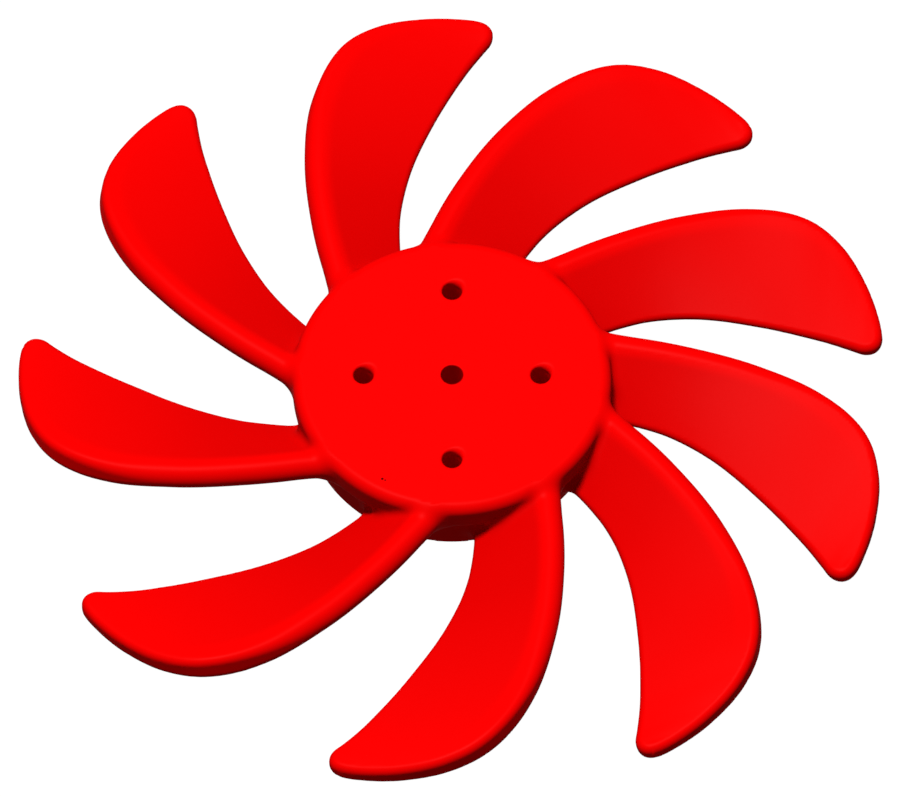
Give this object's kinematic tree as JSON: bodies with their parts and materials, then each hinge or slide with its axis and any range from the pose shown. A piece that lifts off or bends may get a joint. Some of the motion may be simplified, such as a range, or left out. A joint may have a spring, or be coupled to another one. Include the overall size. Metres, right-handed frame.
{
  "type": "axial fan impeller",
  "caption": "Axial fan impeller with swept, round-edged blades on a ribbed hub with a centre bore and bolt holes; moulded red plastic.",
  "frame": {"origin": "centre of the hub's back face, on the fan's axis, where the part rests", "axes": "+Z along the fan's axis, out of the flat front face; +X and +Y through the bolt holes, +Y towards the blade that points up in the picture"},
  "size_m": [0.3912, 0.402, 0.0375],
  "materials": {
    "hub_plastic": "satin moulded, saturated red",
    "blade_plastic": "satin moulded, saturated red"
  },
  "bodies": {
    "root": {"hub_front_disc": "hub_plastic", "hub_skirt": "hub_plastic", "centre_boss": "hub_plastic", "bolt_boss_1": "hub_plastic", "bolt_boss_2": "hub_plastic", "bolt_boss_3": "hub_plastic", "bolt_boss_4": "hub_plastic", "inner_rib_1": "hub_plastic", "inner_rib_2": "hub_plastic", "inner_rib_3": "hub_plastic", "inner_rib_4": "hub_plastic", "outer_rib_1": "hub_plastic", "outer_rib_2": "hub_plastic", "outer_rib_3": "hub_plastic", "outer_rib_4": "hub_plastic", "diagonal_rib_1": "hub_plastic", "diagonal_rib_2": "hub_plastic", "diagonal_rib_3": "hub_plastic", "diagonal_rib_4": "hub_plastic", "blade_1": "blade_plastic", "blade_2": "blade_plastic", "blade_3": "blade_plastic", "blade_4": "blade_plastic", "blade_5": "blade_plastic", "blade_6": "blade_plastic", "blade_7": "blade_plastic", "blade_8": "blade_plastic", "blade_9": "blade_plastic"}
  },
  "joints": []
}
